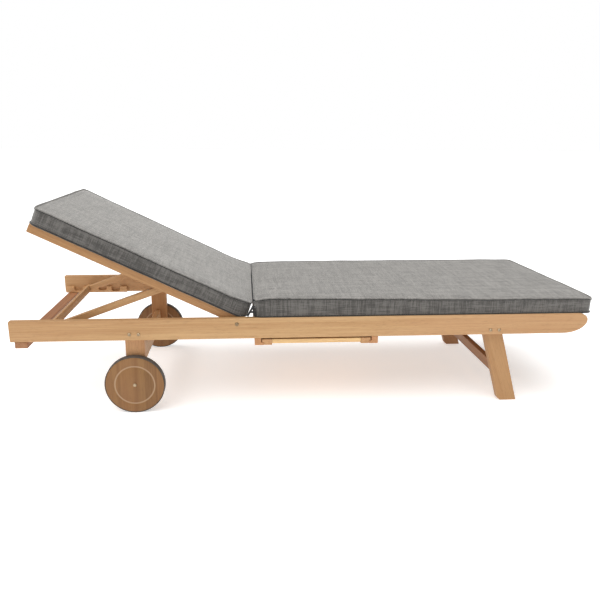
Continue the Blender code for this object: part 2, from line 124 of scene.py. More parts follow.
def blend_of(tree, first, share, second):
    """Mixes two values: share of the first and the rest of the second."""
    part = calculate(tree, "MULTIPLY", first, share)
    rest = calculate(tree, "MULTIPLY", second, 1 - share)
    return calculate(tree, "ADD", part, rest)


def speckle(tree, vector, scale, detail=3.0, roughness=0.55):
    """Noise of the given number of blotches per metre along each axis."""
    placed = node(tree, "Mapping", Vector=vector, Scale=scale).outputs[0]
    made = node(tree, "TexNoise", Vector=placed, Scale=1.0, Detail=detail, Roughness=roughness)
    return made.outputs["Fac"]


def new_material(name, **inputs):
    """A material with a Principled shader. Returns the material, its tree and the shader."""
    made = bpy.data.materials.new(name)
    made.use_nodes = True
    tree = made.node_tree
    shader = tree.nodes["Principled BSDF"]
    for key, value in inputs.items():
        shader.inputs[key.replace("_", " ")].default_value = value
    return made, tree, shader


def connect(tree, shader, colour=None, roughness=None, height=None, bump=0.001):
    """Links what a material varies over its surface. bump is the height of the relief in metres."""
    if colour is not None:
        tree.links.new(colour, shader.inputs["Base Color"])
    if roughness is not None:
        tree.links.new(roughness, shader.inputs["Roughness"])
    if height is not None:
        relief = node(tree, "Bump", Strength=1.0, Distance=bump, Height=height)
        tree.links.new(relief.outputs[0], shader.inputs["Normal"])


# ---- wood ----
WOOD_LIGHT = (0.560, 0.350, 0.168)
WOOD_DARK = (0.425, 0.230, 0.097)
WOOD_PINK = (0.530, 0.285, 0.148)
PORE = (0.230, 0.110, 0.045)
GRAIN_DEPTH = 0.0004


def grain(tree, along):
    """Colour, roughness and height of oiled hardwood. X of along runs with the grain, in metres."""
    patches = ramp(tree, speckle(tree, along, (1.3, 5.0, 5.0), detail=1.0), 0.40, 0.66)
    bands = speckle(tree, along, (0.7, 42.0, 42.0), detail=3.0, roughness=0.6)
    fibres = speckle(tree, along, (5.0, 260.0, 260.0), detail=3.0, roughness=0.65)
    flecks = speckle(tree, along, (38.0, 900.0, 900.0), detail=2.0, roughness=0.5)
    pores = ramp(tree, flecks, 0.60, 0.72)
    tone = blend_of(tree, bands, 0.6, fibres)
    body = mix(tree, ramp(tree, tone, 0.34, 0.68), WOOD_LIGHT, WOOD_DARK)
    body = mix(tree, calculate(tree, "MULTIPLY", patches, 0.35), body, WOOD_PINK)
    colour = mix(tree, calculate(tree, "MULTIPLY", pores, 0.45), body, PORE)
    roughness = calculate(tree, "ADD", calculate(tree, "MULTIPLY", fibres, 0.22), 0.40)
    height = calculate(tree, "SUBTRACT", fibres, calculate(tree, "MULTIPLY", pores, 0.6))
    return colour, roughness, height


def board_material(name, direction, number, tint_and_shade=(1, 1, 1)):
    """Wood whose grain runs along direction. number picks the part of the tree it was cut from."""
    made, tree, shader = new_material(name, Specular_IOR_Level=0.35)
    place = node(tree, "TexCoord").outputs["Object"]
    turn = Vector(direction).rotation_difference(Vector((1, 0, 0))).to_euler()
    cut_from = number * Vector((0.37, 0.73, 0.19))
    turned = node(tree, "Mapping", Vector=place, Rotation=turn, Location=cut_from)
    colour, roughness, height = grain(tree, turned.outputs[0])
    # This multiplies the colour: on some boards by the wood's own tone, and on the far legs, foot stretcher, head
    # crossbar and backrest rails by painted shade.
    if tint_and_shade != (1, 1, 1):
        colour = mix(tree, 1.0, colour, tint_and_shade, "MULTIPLY")
    connect(tree, shader, colour, roughness, height, GRAIN_DEPTH)
    return made


STRIP_WIDTH = 0.041
STRIP_OFFSET = 0.0065
STRIP_TONES = ((0.41, 0.33, 0.23), (0.51, 0.42, 0.30))
RING_RADIUS = 0.0675
RING_HALF = 0.0024
RING_COLOUR = (0.50, 0.34, 0.21)


def wheel_wood(name, centre, number):
    """Upright strips glued edge to edge, each with its own tone, with a paler turned ring."""
    made, tree, shader = new_material(name, Specular_IOR_Level=0.4)
    place = node(tree, "TexCoord").outputs["Object"]
    local = node(tree, "VectorMath", {"operation": "SUBTRACT"}, Vector=place)
    local.inputs[1].default_value = centre
    x, y, z = node(tree, "SeparateXYZ", Vector=local.outputs[0]).outputs
    across = calculate(tree, "DIVIDE", calculate(tree, "ADD", x, STRIP_OFFSET), STRIP_WIDTH)
    strip = calculate(tree, "FLOOR", across)
    seed = calculate(tree, "ADD", strip, 3.7 * number)
    pick = node(tree, "TexWhiteNoise", {"noise_dimensions": "1D"}, W=seed)
    shifted = node(tree, "CombineXYZ", X=z, Y=calculate(tree, "ADD", x, strip), Z=y)
    colour, roughness, height = grain(tree, shifted.outputs[0])
    tone = mix(tree, pick.outputs["Value"], *STRIP_TONES)
    colour = mix(tree, 1.0, colour, tone, "MULTIPLY")
    square = calculate(tree, "ADD", calculate(tree, "POWER", x, 2.0), calculate(tree, "POWER", z, 2.0))
    radius = calculate(tree, "POWER", square, 0.5)
    off_ring = calculate(tree, "ABSOLUTE", calculate(tree, "SUBTRACT", radius, RING_RADIUS))
    ring = calculate(tree, "SUBTRACT", 1.0, ramp(tree, off_ring, RING_HALF * 0.4, RING_HALF * 1.6))
    colour = mix(tree, calculate(tree, "MULTIPLY", ring, 0.6), colour, RING_COLOUR)
    connect(tree, shader, colour, roughness, height, GRAIN_DEPTH)
    return made


# ---- other materials ----
THREAD_LIGHT = (0.148, 0.140, 0.130)
THREAD_DARK = (0.064, 0.060, 0.056)
THREAD_PITCH = 0.0011
UPPER_PAINTED_LIGHT = 2.2


def fabric_material(name, shade=1.0):
    """Woven melange: threads along both axes, each with its own tone, over a fine plain weave.

    The upper panel of a pad, where Z of its cloth is 0, is painted paler. This is painted light, standing in for
    the sheen and the light from above that the panel catches."""
    made, tree, shader = new_material(name, Roughness=0.9, Specular_IOR_Level=0.15)
    shader.inputs["Sheen Weight"].default_value = 0.7
    shader.inputs["Sheen Roughness"].default_value = 0.5
    shader.inputs["Sheen Tint"].default_value = (1.0, 0.99, 0.96, 1)
    place = node(tree, "Attribute", {"attribute_name": "cloth"}).outputs["Vector"]
    warp = speckle(tree, place, (22.0, 650.0, 650.0), detail=2.0, roughness=0.6)
    weft = speckle(tree, place, (650.0, 22.0, 22.0), detail=2.0, roughness=0.6)
    slubs = speckle(tree, place, (150.0, 40.0, 40.0), detail=3.0, roughness=0.7)
    streaks = speckle(tree, place, (75.0, 5.0, 5.0), detail=2.0, roughness=0.6)
    rows = speckle(tree, place, (5.0, 45.0, 45.0), detail=2.0, roughness=0.6)
    threads = calculate(tree, "MULTIPLY", calculate(tree, "ADD", warp, weft), 0.5)
    uneven = calculate(tree, "ADD", slubs, calculate(tree, "ADD", streaks, rows))
    tone = blend_of(tree, threads, 0.52, calculate(tree, "DIVIDE", uneven, 3.0))
    light = tuple(shade * c for c in THREAD_LIGHT)
    dark = tuple(shade * c for c in THREAD_DARK)
    parts = node(tree, "SeparateXYZ", Vector=place)
    # Painted light: the upper panel's threads are made paler, standing in for the sheen and the light from above
    # that it catches.
    painted_light_mask = ramp(tree, parts.outputs[2], -0.0030, -0.0005)
    light = mix(tree, painted_light_mask, light, tuple(UPPER_PAINTED_LIGHT * c for c in light))
    dark = mix(tree, painted_light_mask, dark, tuple(UPPER_PAINTED_LIGHT * c for c in dark))
    colour = mix(tree, ramp(tree, tone, 0.44, 0.56), dark, light)
    turns = math.tau / THREAD_PITCH
    over = calculate(tree, "SINE", calculate(tree, "MULTIPLY", parts.outputs[0], turns))
    depth = calculate(tree, "ADD", parts.outputs[1], parts.outputs[2])
    under = calculate(tree, "SINE", calculate(tree, "MULTIPLY", depth, turns))
    weave = calculate(tree, "MULTIPLY", over, under)
    puckers = speckle(tree, place, (95.0, 140.0, 140.0), detail=3.0, roughness=0.7)
    height = calculate(tree, "ADD", calculate(tree, "MULTIPLY", weave, 0.3), threads)
    height = calculate(tree, "ADD", height, calculate(tree, "MULTIPLY", puckers, 4.0))
    connect(tree, shader, colour, None, height, 0.00030)
    return made


def steel_material(name, light, dark):
    made, tree, shader = new_material(name, Metallic=1.0)
    place = node(tree, "TexCoord").outputs["Object"]
    worn = speckle(tree, place, (900.0, 900.0, 900.0), detail=3.0)
    colour = mix(tree, ramp(tree, worn, 0.35, 0.7), light, dark)
    roughness = calculate(tree, "ADD", calculate(tree, "MULTIPLY", worn, 0.25), 0.30)
    connect(tree, shader, colour, roughness, worn, 0.00005)
    return made


def rubber_material(name):
    made, tree, shader = new_material(name, Specular_IOR_Level=0.3)
    place = node(tree, "TexCoord").outputs["Object"]
    dust = speckle(tree, place, (60.0, 60.0, 60.0), detail=4.0)
    pits = speckle(tree, place, (900.0, 900.0, 900.0), detail=2.0)
    colour = mix(tree, ramp(tree, dust, 0.4, 0.7), (0.072, 0.062, 0.052), (0.125, 0.110, 0.094))
    roughness = calculate(tree, "ADD", calculate(tree, "MULTIPLY", dust, 0.2), 0.52)
    connect(tree, shader, colour, roughness, pits, 0.0002)
    return made


def cord_material(name):
    """Black elastic cord with a braided jacket."""
    made, tree, shader = new_material(name, Roughness=0.75, Specular_IOR_Level=0.25)
    place = node(tree, "TexCoord").outputs["Object"]
    braid = speckle(tree, place, (1100.0, 1100.0, 1100.0), detail=1.0)
    colour = mix(tree, braid, (0.012, 0.012, 0.013), (0.045, 0.045, 0.047))
    connect(tree, shader, colour, None, braid, 0.0003)
    return made


# ---- shapes ----
def link(name, mesh, material, smooth_angle=None):
    mesh.materials.clear()
    mesh.materials.append(material)
    made = bpy.data.objects.new(name, mesh)
    bpy.context.scene.collection.objects.link(made)
    if smooth_angle is not None:
        mesh.shade_smooth()
        mesh.set_sharp_from_angle(angle=math.radians(smooth_angle))
    return made


def mesh_from(bm, name):
    bmesh.ops.recalc_face_normals(bm, faces=bm.faces)
    mesh = bpy.data.meshes.new(name)
    bm.to_mesh(mesh)
    bm.free()
    return mesh


def point_on_circle(centre, radius, turn, y):
    return (centre[0] + radius * math.cos(turn), y, centre[2] + radius * math.sin(turn))


def rings_along_y(name, rings, centre, material, points=96, smooth_angle=35):
    """Joins rings round a Y axis. A ring is (radius, y, corners), where 0 corners is a circle."""
    bm = bmesh.new()
    loops = []
    for radius, y, corners in rings:
        loop = []
        for index in range(points):
            turn = math.tau * index / points
            reach = radius
            if corners:
                half = math.pi / corners
                reach = radius * math.cos(half) / math.cos((turn + half) % (2 * half) - half)
            loop.append(bm.verts.new(point_on_circle(centre, reach, turn, y)))
        loops.append(loop)
    for inner, outer in zip(loops, loops[1:]):
        for index in range(points):
            following = (index + 1) % points
            bm.faces.new((inner[index], inner[following], outer[following], outer[index]))
    bm.faces.new(loops[0])
    bm.faces.new(loops[-1])
    return link(name, mesh_from(bm, name), material, smooth_angle)


def rounded(radius, y, corner, towards, steps=4):
    """Rings of a rounded outer edge that starts flat at y and ends at the full radius.

    towards is +1 or -1 in Y."""
    rings = []
    for step in range(steps + 1):
        turn = math.pi / 2 * step / steps
        inset = corner * (1 - math.sin(turn))
        depth = corner * (1 - math.cos(turn))
        rings.append((radius - inset, y + towards * depth, 0))
    return rings


def tube(name, points, radius, material, closed=False, sides=8):
    """A round cord through points, as a mesh."""
    curve = bpy.data.curves.new(name, "CURVE")
    curve.dimensions = "3D"
    curve.bevel_depth = radius
    curve.bevel_resolution = max(1, sides // 4)
    curve.use_fill_caps = True
    spline = curve.splines.new("POLY")
    spline.points.add(len(points) - 1)
    for point, place in zip(spline.points, points):
        point.co = (*place, 1)
    spline.use_cyclic_u = closed
    drawn = bpy.data.objects.new(name, curve)
    bpy.context.scene.collection.objects.link(drawn)
    bpy.context.view_layer.update()
    mesh = bpy.data.meshes.new_from_object(drawn)
    bpy.data.objects.remove(drawn)
    bpy.data.curves.remove(curve)
    mesh.name = name
    return link(name, mesh, material, 60)


# ---- boards ----
def board_direction(name):
    """The way a board's grain runs: along its longest side, or its slope where it lies at a slant."""
    if name.startswith("backrest_rail"):
        return BACK.to_3x3() @ Vector((1, 0, 0))
    if name.startswith("prop_arm_"):
        reach = Vector(JOINTS["prop_swing"]["pos_m"]) - middle("prop_bar")
        return Vector((reach.x, 0, reach.z))
    if name.startswith("foot_leg_"):
        reach = middle("foot_leg_bolt_near_1") - Vector(frame["record"]["mounts"][0]["pos_m"])
        return Vector((reach.x, 0, reach.z))
    low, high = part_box(name)
    size = high - low
    longest = max(range(3), key=lambda axis: size[axis])
    return Vector([float(axis == longest) for axis in range(3)])


# What each kind of board's colour is multiplied by. A name's first match counts. The far legs, the foot stretcher
# and the head crossbar are darkened as painted shade, with some of the head crossbar's red being its own tone. The
# backrest rails are partly painted shade and partly their own tone. The rest is the wood's own tone.
BOARD_TINTS_AND_PAINTED_SHADE = {
    "tray_runner": (1.0, 0.86, 0.84),
    "tray_side": (1.0, 0.92, 0.90),
    "tray_front": (1.45, 1.60, 1.60),
    "foot_stretcher": (0.60, 0.46, 0.40),
    "head_crossbar": (0.70, 0.56, 0.56),
    "wheel_leg_near": (1.0, 0.90, 0.88),
    "wheel_leg_far": (0.74, 0.62, 0.48),
    "foot_leg_near": (0.83, 0.79, 0.71),
    "backrest_rail": (0.79, 0.71, 0.64),
    "prop_rack": (1.10, 1.10, 1.08),
    "foot_leg_far": (0.70, 0.59, 0.52),
}


def tint_and_shade_of(name):
    return next((tint_and_shade for start, tint_and_shade in BOARD_TINTS_AND_PAINTED_SHADE.items() if name.startswith(start)), (1, 1, 1))


def dress_boards():
    """Gives every wooden CAD board its own cut of the wood."""
    wooden = [s["node"] for s in frame["record"]["subparts"] if s["material_slot"] == "oiled_hardwood"]
    for number, name in enumerate(sorted(wooden)):
        shown = frame["nodes"][name]
        material = board_material(f"wood_{name}", board_direction(name), number, tint_and_shade_of(name))
        for slot in shown.material_slots:
            slot.material = material


BAR_WIDTH = 0.018
BAR_HEIGHT = 0.024
BAR_CLEARANCE = 0.0012
BAR_EDGE = 0.0015


def prop_bar():
    """The bar that joins the prop arms, with ends that reach into the notches of the racks."""
    centre = middle("prop_bar")
    reach = Vector(JOINTS["prop_swing"]["pos_m"]) - centre
    slope = math.atan2(reach.z, reach.x)
    length = 2 * (RAIL_INSIDE - BAR_CLEARANCE)
    bm = bmesh.new()
    bmesh.ops.create_cube(bm, size=1)
    bmesh.ops.scale(bm, vec=(BAR_WIDTH, length, BAR_HEIGHT), verts=bm.verts)
    bmesh.ops.bevel(bm, geom=bm.edges, offset=BAR_EDGE, segments=3, affect="EDGES", profile=0.5)
    mesh = mesh_from(bm, "prop_bar_full")
    mesh.transform(Matrix.Translation(centre) @ Matrix.Rotation(-slope, 4, "Y"))
    made = link("prop_bar_full", mesh, board_material("wood_prop_bar_full", (0, 1, 0), 61), 40)
    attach(made, "prop")
    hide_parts("prop_bar")


# ---- wheels ----
BORE = 0.0056
RIM_DEPTH = 0.0034
RIM_EDGE = 0.0016
RING_GROOVE = 0.0011
TYRE_EDGE = 0.0022
WASHER_RADIUS = 0.0115
WASHER_GAP = 0.0009
WASHER_THICK = 0.0016


def wheel(side, rubber, steel):
    sign = SIGN[side]
    spin = JOINTS[f"wheel_spin_{side}"]["pos_m"]
    low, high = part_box(f"wheel_tyre_{side}")
    out = max(abs(low.y), abs(high.y))
    back = min(abs(low.y), abs(high.y))
    radius = (high.z - low.z) / 2
    wheel_disc(side, sign, spin, (out, back), radius - RIM_DEPTH)
    wheel_tyre(side, sign, spin, (out, back), radius, rubber)
    wheel_washer(side, sign, spin, steel)


def wheel_disc(side, sign, spin, faces, rim):
    """The wooden disc, with a shallow ring turned into its outer face."""
    out, back = faces
    groove = [(-0.0030, 0), (-0.0012, RING_GROOVE), (0.0012, RING_GROOVE), (0.0030, 0)]
    section = [(BORE, out, 0)]
    section += [(RING_RADIUS + across, out - depth, 0) for across, depth in groove]
    section += rounded(rim, out, RIM_EDGE, -1)
    section += list(reversed(rounded(rim, back, RIM_EDGE, 1)))
    section += [(BORE, back, 0)]
    rings = [(r, sign * y, corners) for r, y, corners in section]
    name = f"wheel_face_{side}"
    wood = wheel_wood(f"wood_{name}", spin, 1 if side == "near" else 2)
    made = rings_along_y(name, rings, spin, wood)
    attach(made, f"wheel_{side}")
    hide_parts(f"wheel_disc_{side}")


def wheel_tyre(side, sign, spin, faces, radius, rubber):
    """The rubber band round the disc."""
    out, back = faces
    inner = radius - RIM_DEPTH + 0.0004
    section = [(inner, out - 0.0006, 0)]
    section += rounded(radius, out - 0.0002, TYRE_EDGE, -1, 5)
    section += list(reversed(rounded(radius, back + 0.0002, TYRE_EDGE, 1, 5)))
    section += [(inner, back + 0.0006, 0)]
    made = closed_ring(f"tyre_{side}", [(r, sign * y) for r, y, _ in section], spin, rubber)
    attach(made, f"wheel_{side}")
    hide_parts(f"wheel_tyre_{side}")


def wheel_washer(side, sign, spin, steel):
    """The washer between the wheel and its leg."""
    start = RAIL_INSIDE + WASHER_GAP
    end = start + WASHER_THICK
    section = [(BORE, start), (WASHER_RADIUS, start), (WASHER_RADIUS, end), (BORE, end)]
    made = closed_ring(f"wheel_washer_{side}", [(r, sign * y) for r, y in section], spin, steel)
    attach(made, "frame")


def closed_ring(name, section, centre, material, points=128):
    """Turns a closed (radius, y) section round a Y axis."""
    bm = bmesh.new()
    loops = []
    for index in range(points):
        turn = math.tau * index / points
        loops.append([bm.verts.new(point_on_circle(centre, r, turn, y)) for r, y in section])
    for index in range(points):
        here, there = loops[index], loops[(index + 1) % points]
        for step in range(len(section)):
            following = (step + 1) % len(section)
            bm.faces.new((here[step], here[following], there[following], there[step]))
    return link(name, mesh_from(bm, name), material, 35)


# ---- bolts ----
BOLT_HEAD = 0.0060
PIVOT_HEAD = 0.0068
HEAD_THICK = 0.0035
SHANK = 0.0039


def socket_bolt(node_name, side, body, steel, head=BOLT_HEAD, outward=1):
    """A low round head with a hexagonal socket, in place of a plain CAD bolt."""
    low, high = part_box(node_name)
    sign = SIGN[side] * outward
    centre = (low + high) / 2
    crown = max(sign * low.y, sign * high.y)
    tip = min(sign * low.y, sign * high.y)
    seat = crown - HEAD_THICK
    rings = [
        (0.0024, crown - 0.0028, 6),
        (0.0026, crown - 0.0002, 6),
        (0.0032, crown, 0),
        (head * 0.62, crown - 0.0003, 0),
        (head * 0.86, crown - 0.0011, 0),
        (head * 0.97, crown - 0.0022, 0),
        (head, seat + 0.0004, 0),
        (head, seat + 0.0001, 0),
        (SHANK, seat + 0.0001, 0),
        (SHANK, tip + 0.0005, 0),
        (SHANK - 0.0005, tip, 0),
    ]
    rings = [(r, sign * y, c) for r, y, c in rings]
    made = rings_along_y(f"{node_name}_socket", rings, centre, steel, points=36)
    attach(made, body)
    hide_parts(node_name)


def fasteners(steel, bronze):
    for side in SIGN:
        for leg in ("wheel", "foot"):
            for number in (1, 2):
                socket_bolt(f"{leg}_leg_bolt_{side}_{number}", side, "frame", steel)
        socket_bolt(f"prop_arm_bolt_{side}", side, "backrest", steel, outward=-1)
        socket_bolt(f"backrest_pivot_bolt_{side}", side, "frame", bronze, head=PIVOT_HEAD)
        for slot in frame["nodes"][f"wheel_axle_{side}"].material_slots:
            slot.material = steel
        rack_screws(side, steel)


# Radius, depth into the wood and number of corners of each ring of a screw head, from its recess out.
SCREW_SECTION = (
    (0.0006, 0.0012, 4),
    (0.0016, 0.0006, 4),
    (0.0028, -0.0002, 0),
    (0.0034, -0.0002, 0),
    (0.0034, 0.0002, 0),
)
SCREW_ABOVE_RACK_FOOT = 0.0085
END_SCREWS_IN = {"head": 0.013, "foot": 0.014}


def rack_screws(side, steel):
    """Countersunk screws through the teeth of a notched rack."""
    sign = SIGN[side]
    low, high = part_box(f"prop_rack_{side}")
    face = min(abs(low.y), abs(high.y))
    openings = frame["record"]["physics"]["openings"]
    notches = [opening["box_m"] for opening in openings if f"notch_{side}" in opening["name"]]
    centres = sorted((start[0] + end[0]) / 2 for start, end in notches)
    teeth = [(a + b) / 2 for a, b in zip(centres, centres[1:])]
    rings = [(radius, sign * (face + depth), corners) for radius, depth, corners in SCREW_SECTION]
    places = [low.x + END_SCREWS_IN["head"], *teeth, high.x - END_SCREWS_IN["foot"]]
    for number, x in enumerate(places, 1):
        place = (x, 0, low.z + SCREW_ABOVE_RACK_FOOT)
        made = rings_along_y(f"rack_screw_{side}_{number}", rings, place, steel, points=24)
        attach(made, "frame")


# ---- cushions ----
SEAT_LOW, SEAT_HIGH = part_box("seat_cushion")
FOLD_X = SEAT_LOW.x + 0.001
FOLD_GAP = 0.003
CLEARANCE = 0.0005
PAD_THICK = SEAT_HIGH.z - RAIL_TOP
GRID = 0.011
CORNER = 0.022
CORNER_DROP = 0.004
TUCK = 0.002
SWELLING = 0.006
PRESSED_LENGTH = 0.025
SEAM_PULL = 0.020
ON_FACE = 1e-6
# The sewn lines of a pad: the edge each follows, how far above and how far out from it, and its radius. The dark
# seam under the top welt and the dark bottom welt are dark piping, and they are also painted shade that stands in
# for the shadow lines along the pad's edges.
SEWN = {
    "welt_top": ("top", 0.0012, 0.0, 0.0018),
    "seam_shade_top": ("top", -0.0024, 0.0010, 0.0017),
    "welt_shade_bottom": ("bottom", 0.0, 0.0, 0.0034),
}


def pad_skin(low, high):
    """The skin of a box as an even grid of quads. Returns the bmesh."""
    size = high - low
    bm = bmesh.new()
    bmesh.ops.create_cube(bm, size=1)
    bmesh.ops.translate(bm, vec=(0.5, 0.5, 0.5), verts=bm.verts)
    for axis in range(3):
        along = [e for e in bm.edges if abs(e.verts[0].co[axis] - e.verts[1].co[axis]) > 0.5]
        cuts = max(5, round(size[axis] / GRID)) - 1
        bmesh.ops.subdivide_edges(bm, edges=along, cuts=cuts, use_grid_fill=True)
    for vert in bm.verts:
        vert.co = low + Vector([vert.co[axis] * size[axis] for axis in range(3)])
    return bm


def round_in_plan(point, low, high, corner):
    """Moves a point of a box so that the box's upright corners become round."""
    centre = (low + high) / 2
    half = (high - low) / 2
    offset = point - centre
    beyond_x = abs(offset.x) - (half.x - corner)
    beyond_y = abs(offset.y) - (half.y - corner)
    if beyond_x <= 0 or beyond_y <= 0:
        return point
    shrink = max(beyond_x, beyond_y) / math.hypot(beyond_x, beyond_y)
    x = (half.x - corner + beyond_x * shrink) * math.copysign(1, offset.x)
    y = (half.y - corner + beyond_y * shrink) * math.copysign(1, offset.y)
    return Vector((centre.x + x, centre.y + y, point.z))


def swell(obj, seam, reach, pressure=4.0, frames=20):
    """Fills the cover: the cloth, held at its seams, swells, and no point passes its own reach."""
    scene = bpy.context.scene
    before = np.array([v.co for v in obj.data.vertices])
    group = obj.vertex_groups.new(name="seam")
    group.add([int(i) for i in seam], 1.0, "REPLACE")
    cloth = obj.modifiers.new("cover", "CLOTH")
    settings = cloth.settings
    settings.quality = 4
    settings.mass = 0.3
    settings.tension_stiffness = 12
    settings.compression_stiffness = 12
    settings.shear_stiffness = 6
    settings.bending_stiffness = 1.0
    settings.use_pressure = True
    settings.uniform_pressure_force = pressure
    settings.vertex_group_mass = "seam"
    settings.effector_weights.gravity = 0
    cloth.collision_settings.use_collision = False
    cloth.point_cache.frame_start = 1
    cloth.point_cache.frame_end = frames
    for number in range(1, frames + 1):
        scene.frame_set(number)
    shaped = obj.evaluated_get(bpy.context.evaluated_depsgraph_get())
    after = np.array([v.co for v in shaped.data.vertices])
    obj.modifiers.remove(cloth)
    obj.vertex_groups.remove(group)
    scene.frame_set(1)
    moved = after - before
    length = np.linalg.norm(moved, axis=1)
    share = np.minimum(1.0, reach / np.maximum(length, 1e-9))
    move_points(obj.data, before + moved * share[:, None])


def crown(obj, reach):
    before = np.array([v.co for v in obj.data.vertices])
    normals = np.array([v.normal for v in obj.data.vertices])
    move_points(obj.data, before + normals * reach[:, None])


def move_points(mesh, places):
    mesh.vertices.foreach_set("co", np.asarray(places, dtype=np.float32).ravel())
    mesh.update()


def store_cloth_place(mesh, places):
    """Keeps where each point lies on the cut cloth, which the weave follows."""
    attribute = mesh.attributes.new("cloth", "FLOAT_VECTOR", "POINT")
    attribute.data.foreach_set("vector", np.asarray(places, dtype=np.float32).ravel())


def way_round(point, low, high):
    """Where a point of a box's edge is on the way round the box, from 0 to 4."""
    x = (point.x - low.x) / (high.x - low.x)
    y = (point.y - low.y) / (high.y - low.y)
    if y < ON_FACE:
        return x
    if x > 1 - ON_FACE:
        return 1 + y
    if y > 1 - ON_FACE:
        return 3 - x
    return 4 - y


def edge_distances(point, low, high):
    """How far a point of a box is from the nearest side of the box, from its top and from its bottom."""
    to_side = min(point.x - low.x, high.x - point.x, point.y - low.y, high.y - point.y)
    return to_side, high.z - point.z, point.z - low.z


def seam_points(cut, low, high):
    """The numbers of the points along the top edge of the box and along its bottom edge."""
    seams = {"top": [], "bottom": []}
    for index, point in enumerate(cut):
        to_side, to_top, to_bottom = edge_distances(point, low, high)
        if max(to_side, to_top) < ON_FACE:
            seams["top"].append(index)
        if max(to_side, to_bottom) < ON_FACE:
            seams["bottom"].append(index)
    return seams


def reach_at(point, low, high, fold_x):
    """How far the filling may push a point out: less near a seam, and less near the fold."""
    to_side, to_top, to_bottom = edge_distances(point, low, high)
    from_seam = max(to_side, min(to_top, to_bottom))
    pressed = 1 - math.exp(-abs(point.x - fold_x) / PRESSED_LENGTH)
    return SWELLING * pressed * (1 - math.exp(-from_seam / SEAM_PULL))


def soften(point, low, high):
    """Rounds the upright corners of a box, tucks its lower edge in and drops its near top corners."""
    lift = (point.z - low.z) / (high.z - low.z)
    to_end = min(point.x - low.x, high.x - point.x)
    to_corner = math.hypot(to_end, min(point.y - low.y, high.y - point.y))
    to_near = (high.y - point.y) / (high.y - low.y)
    tuck = TUCK * (1 - lift) ** 2 * math.copysign(1, point.y)
    drop = CORNER_DROP * lift * to_near * math.exp(-to_corner / SEAM_PULL)
    return round_in_plan(point, low, high, CORNER) - Vector((0, tuck, drop))


def pad(name, low, high, shape, rest, fold_x, looks):
    """A box cushion: fabric over foam, swollen between its seams.

    shape moves a point of the plain box to its place, and rest keeps a point off what the pad lies on.
    The pad stays flat where it presses on the other pad, at fold_x. looks holds its fabrics.
    Returns the object and its sewn lines."""
    bm = pad_skin(low, high)
    cut = [v.co.copy() for v in bm.verts]
    seams = seam_points(cut, low, high)
    reach = np.array([reach_at(point, low, high, fold_x) for point in cut])
    for vert, point in zip(bm.verts, cut):
        vert.co = shape(soften(point, low, high))
    made = link(name, mesh_from(bm, name), looks["fabric"])
    held = seams["top"] + seams["bottom"]
    swell(made, held, reach)
    # The cloth's Z is 0 on the upper panel, which is where the fabric paints its light.
    store_cloth_place(made.data, [point - Vector((0, 0, high.z)) for point in cut])
    settle(made, held, low.z, rest)
    welts = []
    for part, (edge, rise, out, radius) in SEWN.items():
        ordered = sorted(seams[edge], key=lambda index: way_round(cut[index], low, high))
        line = [beside(made.data.vertices[index], rise, out) for index in ordered]
        welts.append(welt(f"{name}_{part}", line, looks[part], radius))
    refine(made, set(held))
    return made, welts


WAVE_HEIGHT = 0.0012
WAVES_PER_METRE = 7.0
PUCKER_HEIGHT = 0.0007
PUCKERS_ALONG = 45.0
PUCKERS_UP = 6.0
SETTLED_HEIGHT = 0.015


def settle(obj, held, bottom, rest):
    """Adds the waves of loose fabric and the puckers, and rests the pad on what is under it."""
    still = set(held)
    for index, vert in enumerate(obj.data.vertices):
        point = vert.co.copy()
        wave = WAVE_HEIGHT * noise.noise(point * WAVES_PER_METRE)
        if index not in still:
            x, y, z = point.x * PUCKERS_ALONG, point.y * PUCKERS_ALONG, point.z * PUCKERS_UP
            wave += PUCKER_HEIGHT * noise.noise(Vector((x, y, z)))
        loose = min(1.0, max(0.0, (point.z - bottom) / SETTLED_HEIGHT))
        vert.co = rest(point + vert.normal * wave * loose)
    obj.data.update()


def refine(obj, seam):
    """Smooths the cushion once, and keeps the fold of the fabric at its seams crisp."""
    crease = obj.data.attributes.new("crease_edge", "FLOAT", "EDGE")
    crease.data.foreach_set("value", [float(seam.issuperset(edge.vertices)) for edge in obj.data.edges])
    obj.modifiers.new("smooth", "SUBSURF").levels = 1
    plain = obj.data
    smoothed = obj.evaluated_get(bpy.context.evaluated_depsgraph_get())
    obj.data = bpy.data.meshes.new_from_object(smoothed)
    obj.modifiers.clear()
    bpy.data.meshes.remove(plain)
    obj.data.shade_smooth()
    obj.data.set_sharp_from_angle(angle=math.radians(48))


def beside(vert, rise, out):
    """A place above a point of a seam and out from it, level with the pad."""
    level = Vector((vert.normal.x, vert.normal.y, 0)).normalized()
    return vert.co + Vector((0, 0, rise)) + level * out


def welt(name, line, fabric, radius):
    """The sewn edge of a cushion: a narrow roll of fabric that wanders a little."""
    points = [p + Vector((0, 0, 0.0007 * noise.noise(p * 14.0))) for p in line]
    made = tube(name, points, radius, fabric, closed=True)
    # The roll's cloth Z lies above 0, so the fabric's painted light for the upper panel falls on all of it. On the
    # top welt this is a painted highlight along the edge.
    store_cloth_place(made.data, [v.co for v in made.data.vertices])
    return made


# The seat pad dips at the fold. Its near edge slopes down to the foot end, which lies a little askew.
DIP = {"near": 0.010, "far": 0.005}
DIP_LENGTH = 0.060
NEAR_LIFT = 0.018
FOOT_INSET = 0.011
FOOT_REACH = 0.003
FOOT_SKEW = 0.011


